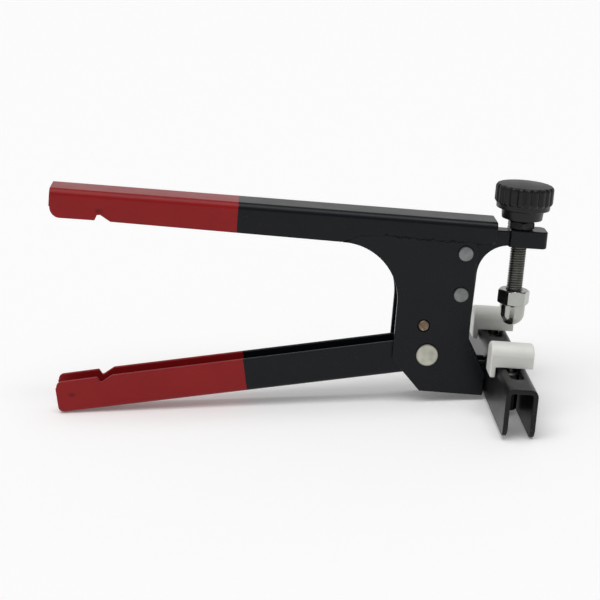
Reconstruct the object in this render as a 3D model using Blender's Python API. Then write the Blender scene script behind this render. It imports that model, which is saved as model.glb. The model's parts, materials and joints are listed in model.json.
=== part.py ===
"""Three-point bending pliers: a screw jaw over a slotted bar with two nylon pads.

Everything is laid out in a design frame in millimetres: the handle pivot is the origin, +X runs
towards the jaw, +Y away from the viewer and +Z along the clamp screw. The stance empty then tips
that frame so that the tool stands on its lower handle and its jaw bar.
"""
import math

import bmesh
import bpy
from mathutils import Matrix, Vector
from mathutils.geometry import tessellate_polygon

MM = 0.001
GAP = 0.3  # clearance kept between neighbouring solids

# levers
HANDLE_TILT = 11.2  # degrees the lower handle falls away from the design X axis
PIVOT_SPACING = 15.3  # handle pivot to jaw pivot, square to the lower handle
DRIVE_RADIUS = 7.4  # handle pivot to drive pin
DRIVE_PIN_R = 1.8
HANDLE_PIN_R = 3.5
JAW_PIN_R = 2.65

# pressed sheet
CHEEK_INNER = 8.7
CHEEK_OUTER = 11.0
HANDLE_SHEET = 2.0
LOWER_HALF_WIDTH = 8.3
LEVER_INNER = 3.5
LEVER_OUTER = 6.0
UPPER_TOP = 69.9  # top of the upper handle at its front end
UPPER_SLOPE = -0.5  # degrees
UPPER_REAR = -193.1
UPPER_FRONT = 29.4
LOWER_REAR = -188.4
SEAM_Z = 58.4  # where the cheeks meet the upper handle's side walls

# clamp screw
SCREW_X = 42.3
STUD_R = 4.0
ARM_TOP = 66.0
ARM_BOTTOM = 57.6
ACORN_TOP = 34.4
ACORN_TIP = 15.9
ACORN_TURN = 3.65  # degrees from the X axis to a corner of its hexagon

# jaw bar and pads
BAR_LEFT = 31.3
BAR_RIGHT = 46.8
BAR_TOP = 4.2
BAR_BOTTOM = -20.0
BAR_HALF_LENGTH = 76.0
BAR_SHEET = 2.4
BAR_MIDDLE = (BAR_LEFT + BAR_RIGHT) / 2
SLOT_WIDTH = 6.6
SLOT_START = 17.0
SLOT_END = 59.0
PAD_Y = 35.0
PAD_WIDTH = 13.5
PAD_TOP = 15.6
PAD_CROWN_R = 5.4

# rivets through the arm
UPPER_RIVET = (14.5, 53.4)
LOWER_RIVET = (14.1, 32.3)
RIVET_SHANK_R = 2.5
RIVET_HEAD_R = 3.8
HEAD_THICKNESS = 1.0

COLOURS = {
    "red": ((0.42, 0.02, 0.025, 1.0), 0.3, 0.0),
    "black": ((0.012, 0.013, 0.018, 1.0), 0.25, 0.0),
    "steel": ((0.55, 0.54, 0.5, 1.0), 0.3, 1.0),
    "copper": ((0.5, 0.3, 0.2, 1.0), 0.45, 1.0),
    "zinc": ((0.42, 0.42, 0.4, 1.0), 0.35, 1.0),
    "nylon": ((0.78, 0.78, 0.75, 1.0), 0.5, 0.0),
    "plastic": ((0.02, 0.02, 0.02, 1.0), 0.4, 0.0),
}


def material(name):
    colour, roughness, metallic = COLOURS[name]
    made = bpy.data.materials.get(name)
    if made is None:
        made = bpy.data.materials.new(name)
        made.use_nodes = True
        shader = made.node_tree.nodes["Principled BSDF"]
        shader.inputs["Base Color"].default_value = colour
        shader.inputs["Roughness"].default_value = roughness
        shader.inputs["Metallic"].default_value = metallic
    return made


def start_again():
    for thing in list(bpy.data.objects):
        bpy.data.objects.remove(thing, do_unlink=True)
    stance = bpy.data.objects.new("stance", None)
    bpy.context.scene.collection.objects.link(stance)
    return stance


def finished(name, mesh_builder, colour, stance, pivot=(0.0, 0.0, 0.0), smooth=None):
    """Make an object of a bmesh given in design millimetres, with its origin on the pivot."""
    mesh_builder.transform(Matrix.Scale(MM, 4) @ Matrix.Translation(-Vector(pivot)))
    bmesh.ops.recalc_face_normals(mesh_builder, faces=mesh_builder.faces)
    mesh = bpy.data.meshes.new(name)
    mesh_builder.to_mesh(mesh)
    mesh_builder.free()
    if smooth is not None:
        mesh.shade_smooth()
        mesh.set_sharp_from_angle(angle=math.radians(smooth))
    thing = bpy.data.objects.new(name, mesh)
    thing.location = Vector(pivot) * MM
    thing.parent = stance
    mesh.materials.append(material(colour))
    bpy.context.scene.collection.objects.link(thing)
    return thing


def boolean(target, tool, operation="DIFFERENCE"):
    """Cut, join or intersect the target with a hidden tool object."""
    tool.hide_render = True
    tool.display_type = "WIRE"
    modifier = target.modifiers.new(tool.name, "BOOLEAN")
    modifier.operation = operation
    modifier.object = tool


def arc(centre, radius, start, end, steps):
    """Points on a round stretch, angles in degrees."""
    points = []
    for step in range(steps + 1):
        angle = math.radians(start + (end - start) * step / steps)
        points.append((centre[0] + radius * math.cos(angle), centre[1] + radius * math.sin(angle)))
    return points


def circle(centre, radius, steps=24):
    return arc(centre, radius, 0.0, 360.0 - 360.0 / steps, steps - 1)


def outline(corners):
    """Corner points (a, b) or (a, b, radius) as an outline with rounded corners."""
    points = []
    count = len(corners)
    for index, corner in enumerate(corners):
        here = Vector(corner[:2])
        radius = corner[2] if len(corner) > 2 else 0.0
        if radius == 0.0:
            points.append(tuple(here))
            continue
        before = (Vector(corners[index - 1][:2]) - here).normalized()
        after = (Vector(corners[(index + 1) % count][:2]) - here).normalized()
        half = before.angle(after) / 2
        middle = here + (before + after).normalized() * (radius / math.sin(half))
        first = here + before * (radius / math.tan(half)) - middle
        turn = first.angle_signed(here + after * (radius / math.tan(half)) - middle)
        steps = max(2, round(abs(math.degrees(turn)) / 90 * (3 + radius ** 0.5)))
        for step in range(steps + 1):
            swung = first.copy()
            swung.rotate(Matrix.Rotation(-turn * step / steps, 2))
            points.append(tuple(middle + swung))
    return points


def prism(loops, low, high, axis="Y"):
    """Extrude an outline, with any holes in it, between two heights along one axis."""
    flat = [[Vector((a, b, 0.0)) for a, b in loop] for loop in loops]
    corners = [point for loop in flat for point in loop]
    place = {
        "Y": lambda point, height: (point.x, height, point.y),
        "X": lambda point, height: (height, point.x, point.y),
        "Z": lambda point, height: (point.x, point.y, height),
    }[axis]
    built = bmesh.new()
    lower = [built.verts.new(place(point, low)) for point in corners]
    upper = [built.verts.new(place(point, high)) for point in corners]
    for triangle in tessellate_polygon(flat):
        built.faces.new([lower[index] for index in triangle])
        built.faces.new([upper[index] for index in reversed(triangle)])
    start = 0
    for loop in flat:
        count = len(loop)
        for index in range(count):
            first = start + index
            second = start + (index + 1) % count
            built.faces.new((lower[first], lower[second], upper[second], upper[first]))
        start += count
    return built


def rings(loops, closed=False):
    """Skin a stack of equal rings; closed joins the last ring to the first, else both are capped."""
    built = bmesh.new()
    layers = [[built.verts.new(point) for point in loop] for loop in loops]
    count = len(layers[0])
    pairs = list(zip(layers, layers[1:]))
    if closed:
        pairs.append((layers[-1], layers[0]))
    else:
        built.faces.new(layers[0])
        built.faces.new(list(reversed(layers[-1])))
    for below, above in pairs:
        for index in range(count):
            after = (index + 1) % count
            built.faces.new((below[index], below[after], above[after], above[index]))
    return built


def ring_xy(radius, height, steps=32, centre=(SCREW_X, 0.0), sides=0, turn=0.0, squareness=1.0):
    """A level ring about the screw axis: round, or a polygon's outline when sides is given."""
    points = []
    for step in range(steps):
        angle = math.tau * step / steps
        reach = radius
        if sides:
            wedge = math.tau / sides
            flat = radius * math.cos(wedge / 2) / math.cos((angle % wedge) - wedge / 2)
            reach = radius + (flat - radius) * squareness
        swing = angle + math.radians(turn)
        points.append((centre[0] + reach * math.cos(swing), centre[1] + reach * math.sin(swing), height))
    return points


def pin_across(centre, stations, steps=28):
    """A turned pin along Y through a point of the XZ plane, from (y, radius) stations."""
    loops = []
    for y, radius in stations:
        loops.append([(a, y, b) for a, b in circle(centre, radius, steps)])
    return rings(loops)


def along_handle(points):
    """Lower handle outline points (along, square) as design X and Z."""
    tilt = math.radians(HANDLE_TILT)
    turned = []
    for point in points:
        x = point[0] * math.cos(tilt) - point[1] * math.sin(tilt)
        z = point[0] * math.sin(tilt) + point[1] * math.cos(tilt)
        turned.append((x, z) + tuple(point[2:]))
    return turned


JAW_PIVOT = along_handle([(0.0, PIVOT_SPACING)])[0]
DRIVE_PIN = along_handle([(0.0, DRIVE_RADIUS)])[0]


def channel_section(half_width, floor, rim, sheet, bend):
    """A pressed U in width and height, its floor at one height and its rims at the other."""
    inward = math.copysign(sheet, rim - floor)
    return outline([
        (-half_width, rim),
        (-half_width, floor, bend),
        (half_width, floor, bend),
        (half_width, rim),
        (half_width - sheet, rim),
        (half_width - sheet, floor + inward, bend - sheet),
        (-half_width + sheet, floor + inward, bend - sheet),
        (-half_width + sheet, rim),
    ])


def make_upper_handle(stance):
    section = channel_section(CHEEK_OUTER, 0.0, -30.0, HANDLE_SHEET, 3.4)
    channel = prism([section], UPPER_REAR - 10, UPPER_FRONT + 10, "X")
    channel.transform(Matrix.Rotation(math.radians(-UPPER_SLOPE), 4, "Y"))
    channel.transform(Matrix.Translation((0.0, 0.0, UPPER_TOP + UPPER_FRONT * math.tan(math.radians(-UPPER_SLOPE)))))
    side = outline([
        (UPPER_REAR, 73.2, 2.4),
        (UPPER_REAR, 57.2, 5.5),
        (-170.2, 57.2, 0.5),
        (-169.2, 59.9, 0.5),
        (-167.6, 60.1, 0.6),
        (-162.4, 57.0, 0.6),
        (-47.6, 54.9, 1.0),
        (-37.0, SEAM_Z, 4.0),
        (UPPER_FRONT, SEAM_Z, 3.0),
        (UPPER_FRONT, 73.2),
    ])
    handle = finished("upper_handle", channel, "red", stance)
    profile = finished("upper_handle_side", prism([side], -20, 20), "red", stance)
    boolean(handle, profile, "INTERSECT")


def make_cheek(name, inner, outer, stance):
    shape = outline([
        (-47.0, 54.55),
        (-37.0, SEAM_Z - GAP, 4.0),
        (20.4, SEAM_Z - GAP),
        (20.4, 9.7, 3.0),
        (30.2, -7.8, 1.5),
        (30.2, -19.6, 1.0),
        (-2.2, -19.3, 1.5),
        (-17.4, -3.4, 1.5),
        (-17.2, 54.55, 29.5),
    ])
    holes = [
        circle((0.0, 0.0), HANDLE_PIN_R + GAP),
        circle(JAW_PIVOT, JAW_PIN_R + GAP),
        circle(UPPER_RIVET, RIVET_SHANK_R + GAP),
        circle(LOWER_RIVET, RIVET_SHANK_R + GAP),
    ]
    finished(name, prism([shape] + holes, inner, outer), "black", stance)


def make_upper_arm(stance):
    neck = outline([
        (6.8, ARM_TOP - 1.0, 2.0),
        (6.8, 19.0, 1.5),
        (21.4, 19.0, 2.0),
        (22.3, 57.5, 15.5),
        (46.0, 57.5),
        (46.0, ARM_TOP - 1.0),
    ])
    rivets = [circle(UPPER_RIVET, RIVET_SHANK_R + GAP), circle(LOWER_RIVET, RIVET_SHANK_R + GAP)]
    block = outline([(36.4, -7.0, 1.5), (55.5, -7.0, 3.0), (55.5, 7.0, 3.0), (36.4, 7.0, 1.5)])
    arm = finished("upper_arm", prism([neck] + rivets, -4.6, 4.6), "black", stance)
    end = finished("upper_arm_end", prism([block], ARM_BOTTOM - 0.4, ARM_TOP, "Z"), "black", stance)
    bore = rings([ring_xy(STUD_R + GAP, 50.0), ring_xy(STUD_R + GAP, 75.0)])
    drill = finished("upper_arm_bore", bore, "black", stance)
    boolean(arm, end, "UNION")
    boolean(arm, drill)


def make_rivet(name, centre, stance):
    outside = CHEEK_OUTER + GAP
    head = outside + HEAD_THICKNESS
    stations = [(-head, RIVET_HEAD_R), (-outside, RIVET_HEAD_R), (-outside, RIVET_SHANK_R)]
    stations += [(-y, radius) for y, radius in reversed(stations)]
    finished(name, pin_across(centre, stations), "steel", stance, (centre[0], 0.0, centre[1]), 40)


def make_arm_spacers(stance):
    for height, centre in (("upper", UPPER_RIVET), ("lower", LOWER_RIVET)):
        for side_name, side in (("near", -1), ("far", 1)):
            ends = sorted((side * (4.6 + GAP), side * (CHEEK_INNER - GAP)))
            loops = [circle(centre, 5.6), circle(centre, RIVET_SHANK_R + GAP)]
            name = side_name + "_" + height + "_spacer"
            finished(name, prism(loops, ends[0], ends[1]), "zinc", stance, (centre[0], 0.0, centre[1]))


def make_handle_pivot_pin(stance):
    outside = CHEEK_OUTER + GAP
    head = outside + HEAD_THICKNESS
    stations = [(-head, 5.2), (-head + 0.4, 5.65), (-outside, 5.65), (-outside, HANDLE_PIN_R)]
    stations += [(-y, radius) for y, radius in reversed(stations)]
    finished("handle_pivot_pin", pin_across((0.0, 0.0), stations), "steel", stance, smooth=40)


def make_jaw_pivot_pin(stance):
    end = CHEEK_OUTER + 0.5
    stations = [(-end, JAW_PIN_R - 0.4), (-end + 0.4, JAW_PIN_R), (end - 0.4, JAW_PIN_R), (end, JAW_PIN_R - 0.4)]
    pivot = (JAW_PIVOT[0], 0.0, JAW_PIVOT[1])
    finished("jaw_pivot_pin", pin_across(JAW_PIVOT, stations), "copper", stance, pivot, 40)


def make_return_spring(stance):
    """A torsion spring round the jaw pin: one leg bears under the arm, one on the lower handle's floor."""
    wire = 0.6
    reach = JAW_PIN_R + GAP + wire
    turns = 3.25
    half_length = 2.3
    steps = 56
    centre_x, centre_z = JAW_PIVOT
    points = [(13.0, -half_length, centre_z + reach - 1.0)]
    for step in range(steps + 1):
        angle = math.pi / 2 + math.tau * turns * step / steps
        y = -half_length + 2 * half_length * step / steps
        points.append((centre_x + reach * math.cos(angle), y, centre_z + reach * math.sin(angle)))
    points.append((-18.6, half_length, -9.6))
    curve = bpy.data.curves.new("return_spring", "CURVE")
    curve.dimensions = "3D"
    curve.bevel_depth = wire * MM
    curve.bevel_resolution = 1
    curve.use_fill_caps = True
    spline = curve.splines.new("POLY")
    spline.points.add(len(points) - 1)
    for target, point in zip(spline.points, points):
        target.co = (point[0] * MM, point[1] * MM, point[2] * MM, 1.0)
    curve.materials.append(material("steel"))
    spring = bpy.data.objects.new("return_spring", curve)
    spring.parent = stance
    bpy.context.scene.collection.objects.link(spring)


def make_lower_handle(stance):
    section = channel_section(LOWER_HALF_WIDTH, 0.0, 30.0, HANDLE_SHEET, 3.0)
    channel = prism([section], LOWER_REAR - 10, 20, "X")
    channel.transform(Matrix.Rotation(math.radians(0.26), 4, "Y"))
    channel.transform(Matrix.Translation((0.0, 0.0, -8.95)))
    channel.transform(Matrix.Rotation(math.radians(-HANDLE_TILT), 4, "Y"))
    side = outline(along_handle([
        (LOWER_REAR, 8.3, 3.0),
        (LOWER_REAR, -9.2, 2.6),
        (-4.0, -10.2),
        (-4.0, -6.2, 1.0),
        (8.6, -6.2, 4.0),
        (8.6, 8.5, 3.2),
        (4.9, 8.5, 0.4),
        (4.9, 11.6, 2.6),
        (-4.9, 11.6, 2.6),
        (-4.9, 8.5, 0.4),
        (-158.9, 8.6, 0.6),
        (-165.2, 5.4, 0.8),
        (-166.7, 8.5, 0.5),
    ]))
    holes = [circle((0.0, 0.0), HANDLE_PIN_R + GAP), circle(DRIVE_PIN, DRIVE_PIN_R + GAP, 16)]
    handle = finished("lower_handle", channel, "red", stance)
    profile = finished("lower_handle_side", prism([side] + holes, -20, 20), "red", stance)
    boolean(handle, profile, "INTERSECT")


def make_drive_pin(stance):
    ends = LOWER_HALF_WIDTH
    stations = [(-ends, DRIVE_PIN_R), (ends, DRIVE_PIN_R)]
    finished("drive_pin", pin_across(DRIVE_PIN, stations, 16), "zinc", stance, (DRIVE_PIN[0], 0.0, DRIVE_PIN[1]), 40)


def lever_shape():
    """One jaw lever plate: eye on the jaw pin, fork round the drive pin, nose at the bar."""
    slot = DRIVE_PIN_R + GAP
    tine = slot + 2.6
    top = PIVOT_SPACING
    foot = 4.5
    fork = along_handle([
        (-tine, top + 5.4, 5.2),
        (-tine, foot, 1.2),
        (-slot, foot, 0.6),
        (-slot, top - 4.9, 1.9),
        (slot, top - 4.9, 1.9),
        (slot, foot, 0.6),
        (tine, foot, 1.2),
    ])
    nose = [
        (6.4, 6.5, 1.5),
        (6.6, -6.5, 4.0),
        (21.0, -19.2, 3.0),
        (BAR_LEFT - GAP, -19.2),
        (BAR_LEFT - GAP, -2.9),
        (26.4, -2.9, 2.0),
        (19.5, 8.6, 4.0),
    ]
    crown = along_handle([(4.6, top + 5.4, 4.0)])
    return outline(fork + nose + crown)


def make_jaw_lever(name, inner, outer, stance):
    hole = circle(JAW_PIVOT, JAW_PIN_R + GAP)
    pivot = (JAW_PIVOT[0], 0.0, JAW_PIVOT[1])
    finished(name, prism([lever_shape(), hole], inner, outer), "black", stance, pivot)


def make_jaw_bar(stance):
    half = (BAR_RIGHT - BAR_LEFT) / 2
    section = [(a + BAR_MIDDLE, b) for a, b in channel_section(half, BAR_TOP, -30.0, BAR_SHEET, 3.6)]
    pivot = (JAW_PIVOT[0], 0.0, JAW_PIVOT[1])
    bar = finished("jaw_bar", prism([section], -BAR_HALF_LENGTH, BAR_HALF_LENGTH), "black", stance, pivot)
    side = outline([
        (-BAR_HALF_LENGTH - 1, 10.0),
        (-BAR_HALF_LENGTH - 1, BAR_BOTTOM, 4.0),
        (BAR_HALF_LENGTH + 1, BAR_BOTTOM, 4.0),
        (BAR_HALF_LENGTH + 1, 10.0),
    ])
    profile = finished("jaw_bar_side", prism([side], 20, 60, "X"), "black", stance)
    boolean(bar, profile, "INTERSECT")
    for side_name, sign in (("near", -1), ("far", 1)):
        ends = sorted((sign * SLOT_START, sign * SLOT_END))
        radius = SLOT_WIDTH / 2
        slot = arc((BAR_MIDDLE, ends[0] + radius), radius, 180, 360, 8)
        slot += arc((BAR_MIDDLE, ends[1] - radius), radius, 0, 180, 8)
        cutter = finished(side_name + "_slot", prism([slot], -6, 12, "Z"), "black", stance)
        boolean(bar, cutter)


def make_pad(side_name, y, stance):
    """A nylon pad with its stud, washer and long clamp nut, all about the slot's middle line."""
    centre = (BAR_MIDDLE, y)
    low = BAR_TOP + GAP
    stud_r = 3.0
    shape = outline([
        (27.8, PAD_TOP, 1.2),
        (27.8, -0.7, 1.0),
        (30.6, -0.7, 1.0),
        (30.6, low),
        (49.0, low, 1.0),
        (49.0, PAD_TOP, 1.2),
    ])
    half = PAD_WIDTH / 2
    block = prism([shape], y - half, y + half)
    pad = finished(side_name + "_pad", block, "nylon", stance, (BAR_MIDDLE, y, low))
    crown = outline([
        (y - half, PAD_TOP, PAD_CROWN_R),
        (y - half, -5.0),
        (y + half, -5.0),
        (y + half, PAD_TOP, PAD_CROWN_R),
    ])
    crowned = finished(side_name + "_pad_crown", prism([crown], 20.0, 60.0, "X"), "nylon", stance)
    boolean(pad, crowned, "INTERSECT")
    socket = rings([
        ring_xy(stud_r + GAP, low - 4, 20, centre),
        ring_xy(stud_r + GAP, 10.6, 20, centre),
    ])
    boolean(pad, finished(side_name + "_pad_socket", socket, "nylon", stance))
    stud = rings([ring_xy(stud_r, -15.0, 20, centre), ring_xy(stud_r, 10.3, 20, centre)])
    finished(side_name + "_pad_stud", stud, "zinc", stance, (BAR_MIDDLE, y, low), 40)
    under = BAR_TOP - BAR_SHEET - GAP
    washer = rings([
        ring_xy(5.0, under - 1.0, 20, centre),
        ring_xy(5.0, under, 20, centre),
        ring_xy(stud_r + GAP, under, 20, centre),
        ring_xy(stud_r + GAP, under - 1.0, 20, centre),
    ], closed=True)
    finished(side_name + "_pad_washer", washer, "zinc", stance, (BAR_MIDDLE, y, low))
    nut_top = under - 1.0 - GAP
    nut_foot = -17.9
    nut = rings([
        ring_xy(4.7, nut_foot, 24, centre, 6),
        ring_xy(4.7, nut_top, 24, centre, 6),
        ring_xy(stud_r + GAP, nut_top, 24, centre),
        ring_xy(stud_r + GAP, nut_foot, 24, centre),
    ], closed=True)
    finished(side_name + "_pad_nut", nut, "plastic", stance, (BAR_MIDDLE, y, low))


def make_acorn_nut(stance):
    corner = 8.2
    collar = 6.45
    hex_foot = ACORN_TOP - 7.4
    shape = {"sides": 6, "turn": ACORN_TURN}
    loops = [
        ring_xy(STUD_R + GAP, ACORN_TOP - 11.5, 36),
        ring_xy(STUD_R + GAP, ACORN_TOP, 36),
        ring_xy(corner - 1.0, ACORN_TOP, 36),
        ring_xy(corner, ACORN_TOP - 0.6, 36, **shape),
        ring_xy(corner, hex_foot + 0.7, 36, **shape),
        ring_xy(collar + 0.2, hex_foot, 36),
        ring_xy(collar, hex_foot - 0.6, 36),
    ]
    dome_top = ACORN_TIP + 6.6
    for angle in (0, 22, 42, 60, 75, 86):
        swing = math.radians(angle)
        loops.append(ring_xy(collar * math.cos(swing), dome_top - 6.6 * math.sin(swing), 36))
    finished("acorn_nut", rings(loops), "steel", stance, (SCREW_X, 0.0, ACORN_TOP), 30)


def make_clamp_stud(stance):
    loops = [ring_xy(STUD_R - 0.6, ACORN_TOP - 11.2), ring_xy(STUD_R, ACORN_TOP - 10.6)]
    loops += [ring_xy(STUD_R, 83.6), ring_xy(STUD_R - 0.6, 84.2)]
    finished("clamp_stud", rings(loops), "zinc", stance, (SCREW_X, 0.0, ARM_TOP), 40)


def make_jam_nut(stance):
    low = ARM_TOP + GAP
    high = 70.7
    shape = {"sides": 6, "turn": 30.0}
    loops = [
        ring_xy(STUD_R + GAP, low, 36),
        ring_xy(6.3, low, 36),
        ring_xy(7.1, low + 0.5, 36, **shape),
        ring_xy(7.1, high - 0.5, 36, **shape),
        ring_xy(6.3, high, 36),
        ring_xy(STUD_R + GAP, high, 36),
    ]
    finished("jam_nut", rings(loops, closed=True), "plastic", stance, (SCREW_X, 0.0, ARM_TOP), 30)


def knob_ring(radius, height, depth):
    """A ring with rounded flutes: it dips by the depth between each of the ribs."""
    ribs = 22
    per_rib = 4
    points = []
    for step in range(ribs * per_rib):
        angle = math.tau * step / (ribs * per_rib)
        reach = radius - depth * (0.0, 0.15, 1.0, 0.15)[step % per_rib]
        points.append((SCREW_X + reach * math.cos(angle), reach * math.sin(angle), height))
    return points


def make_knob(stance):
    hub = 71.1
    bore = 6.3
    loops = [
        knob_ring(bore, 85.0, 0.0),
        knob_ring(bore, hub, 0.0),
        knob_ring(10.2, hub, 0.0),
        knob_ring(10.6, hub + 4.6, 0.0),
        knob_ring(13.3, hub + 5.2, 0.0),
        knob_ring(13.5, hub + 7.6, 0.0),
        knob_ring(14.0, hub + 8.0, 0.6),
        knob_ring(14.6, hub + 8.8, 1.0),
        knob_ring(14.6, hub + 15.6, 1.0),
        knob_ring(13.4, hub + 17.2, 0.5),
        knob_ring(12.6, hub + 17.4, 0.0),
        knob_ring(6.0, hub + 18.1, 0.0),
    ]
    finished("knob", rings(loops), "plastic", stance, (SCREW_X, 0.0, hub), 30)


def make_knob_insert(stance):
    loops = [ring_xy(STUD_R + GAP, 71.3, 24), ring_xy(6.0, 71.3, 24)]
    loops += [ring_xy(6.0, 84.4, 24), ring_xy(STUD_R + GAP, 84.4, 24)]
    finished("knob_insert", rings(loops, closed=True), "zinc", stance, (SCREW_X, 0.0, 71.3), 40)


def settle(stance):
    """Tip the tool onto its lower handle and jaw bar, then centre it over the origin at floor height."""
    rear_foot = along_handle([(LOWER_REAR + 1.6, -8.1)])[0]
    drop = (BAR_BOTTOM - rear_foot[1]) / (BAR_RIGHT - rear_foot[0])
    stance.rotation_euler = (0.0, math.atan(drop), 0.0)
    bpy.context.view_layer.update()
    graph = bpy.context.evaluated_depsgraph_get()
    corners = []
    for thing in bpy.data.objects:
        if thing.type in {"MESH", "CURVE"} and not thing.hide_render:
            shown = thing.evaluated_get(graph)
            mesh = shown.to_mesh()
            corners += [shown.matrix_world @ vertex.co for vertex in mesh.vertices]
            shown.to_mesh_clear()
    xs = [corner.x for corner in corners]
    lowest = min(corner.z for corner in corners)
    stance.location = (-(min(xs) + max(xs)) / 2, 0.0, -lowest)


def build():
    stance = start_again()
    make_upper_handle(stance)
    make_cheek("near_cheek", -CHEEK_OUTER, -CHEEK_INNER, stance)
    make_cheek("far_cheek", CHEEK_INNER, CHEEK_OUTER, stance)
    make_upper_arm(stance)
    make_rivet("upper_arm_rivet", UPPER_RIVET, stance)
    make_rivet("lower_arm_rivet", LOWER_RIVET, stance)
    make_arm_spacers(stance)
    make_handle_pivot_pin(stance)
    make_jaw_pivot_pin(stance)
    make_return_spring(stance)
    make_lower_handle(stance)
    make_drive_pin(stance)
    make_jaw_lever("near_jaw_lever", -LEVER_OUTER, -LEVER_INNER, stance)
    make_jaw_lever("far_jaw_lever", LEVER_INNER, LEVER_OUTER, stance)
    make_jaw_bar(stance)
    make_pad("near", -PAD_Y, stance)
    make_pad("far", PAD_Y, stance)
    make_acorn_nut(stance)
    make_clamp_stud(stance)
    make_jam_nut(stance)
    make_knob(stance)
    make_knob_insert(stance)
    settle(stance)


build()
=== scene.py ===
import json
import math

import bmesh
import bpy
import numpy as np
from mathutils import Matrix, Vector
from mathutils.geometry import tessellate_polygon


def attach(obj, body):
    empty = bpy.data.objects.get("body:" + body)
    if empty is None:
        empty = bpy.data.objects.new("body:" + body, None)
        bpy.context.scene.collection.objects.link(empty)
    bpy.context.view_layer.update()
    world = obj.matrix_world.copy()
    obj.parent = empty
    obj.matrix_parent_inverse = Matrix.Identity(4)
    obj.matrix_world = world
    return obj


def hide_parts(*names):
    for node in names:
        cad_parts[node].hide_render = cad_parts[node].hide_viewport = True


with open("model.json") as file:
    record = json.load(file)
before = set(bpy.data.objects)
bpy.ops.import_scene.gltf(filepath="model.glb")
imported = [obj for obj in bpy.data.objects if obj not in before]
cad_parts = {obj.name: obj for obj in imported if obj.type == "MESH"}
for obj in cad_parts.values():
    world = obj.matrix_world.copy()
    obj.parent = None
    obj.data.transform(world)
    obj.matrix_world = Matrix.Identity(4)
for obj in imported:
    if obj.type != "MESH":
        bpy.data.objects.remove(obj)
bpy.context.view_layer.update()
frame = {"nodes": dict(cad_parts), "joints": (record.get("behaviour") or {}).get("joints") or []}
print("frame loaded with", len(frame["nodes"]), "nodes")

# the tool's own directions: x towards the jaw, y across, z up the clamp screw, zero at the handle pivot
joints = {joint["name"]: joint for joint in frame["joints"]}
handlePivot = np.array(joints["handle_squeeze"]["pos_m"], float)
upScrew = np.array(joints["knob_turn"]["axis"], float)
upScrew /= np.linalg.norm(upScrew)
acrossTool = np.array((0.0, 1.0, 0.0))
alongTool = np.cross(acrossTool, upScrew)
toolAxes = np.stack((alongTool, acrossTool, upScrew))
millimetre = 0.001
endRound = 0.45  # rounding of the sheet metal's cut edges

handleTilt = math.radians(11.2)  # the lower handle's fall away from the tool's x
lowerAlong = math.cos(handleTilt) * alongTool + math.sin(handleTilt) * upScrew


def placed(points):
    # tool millimetres to metres in the frame: pivot + x along + y across + z up
    return handlePivot + millimetre * (np.asarray(points, float) @ toolAxes)


# meshes from number grids
def gridFaces(rows, columns, wrapRows=False, wrapColumns=False, start=0):
    # a quad between each neighbouring pair of rows and columns, numbered row by row
    row = np.arange(rows if wrapRows else rows - 1)
    column = np.arange(columns if wrapColumns else columns - 1)
    row, column = np.meshgrid(row, column, indexing="ij")
    nextRow = (row + 1) % rows
    nextColumn = (column + 1) % columns
    corners = (row * columns + column, row * columns + nextColumn,
               nextRow * columns + nextColumn, nextRow * columns + column)
    return (np.stack(corners, -1).reshape(-1, 4) + start).tolist()


def capFaces(loops, start, flip=False):
    # triangles that fill flat loops whose points follow each other from a first number
    flat = [[Vector((float(a), float(b), 0.0)) for a, b in loop] for loop in loops]
    triangles = tessellate_polygon(flat)
    return [tuple(start + i for i in (reversed(t) if flip else t)) for t in triangles]


def makeMesh(name, points, faces):
    mesh = bpy.data.meshes.new(name)
    mesh.from_pydata(placed(points).tolist(), [], faces)
    work = bmesh.new()
    work.from_mesh(mesh)
    bmesh.ops.remove_doubles(work, verts=work.verts, dist=2e-7)
    bmesh.ops.recalc_face_normals(work, faces=work.faces)
    work.to_mesh(mesh)
    work.free()
    return mesh


def joined(*parts):
    # several (points, faces) sets as one, each face number raised by the points before it
    points, faces, count = [], [], 0
    for somePoints, someFaces in parts:
        somePoints = np.asarray(somePoints, float).reshape(-1, 3)
        points.append(somePoints)
        faces += [tuple(i + count for i in face) for face in someFaces]
        count += len(somePoints)
    return np.concatenate(points), faces


def makePiece(name, shape, body, material, nodes=(), sharp=40, cutters=()):
    thing = bpy.data.objects.new(name, makeMesh(name, *shape))
    bpy.context.scene.collection.objects.link(thing)
    for cutter in cutters:
        cutAway(thing, cutter)
    mesh = thing.data
    mesh.materials.clear()
    mesh.materials.append(material)
    mesh.shade_smooth()
    mesh.set_sharp_from_angle(angle=math.radians(sharp))
    weighted = thing.modifiers.new("flatsStayFlat", "WEIGHTED_NORMAL")
    weighted.keep_sharp = True
    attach(thing, body)
    if nodes:
        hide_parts(*nodes)
    return thing


def cutAway(thing, cutter):
    # takes the cutter's closed shape out of the thing, and leaves no modifier behind
    tool = bpy.data.objects.new("cutter", makeMesh("cutter", *cutter))
    bpy.context.scene.collection.objects.link(tool)
    change = thing.modifiers.new("cut", "BOOLEAN")
    change.operation = "DIFFERENCE"
    change.solver = "EXACT"
    change.object = tool
    graph = bpy.context.evaluated_depsgraph_get()
    cut = bpy.data.meshes.new_from_object(thing.evaluated_get(graph))
    thing.modifiers.remove(change)
    thing.data = cut
    bpy.data.objects.remove(tool)


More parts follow.
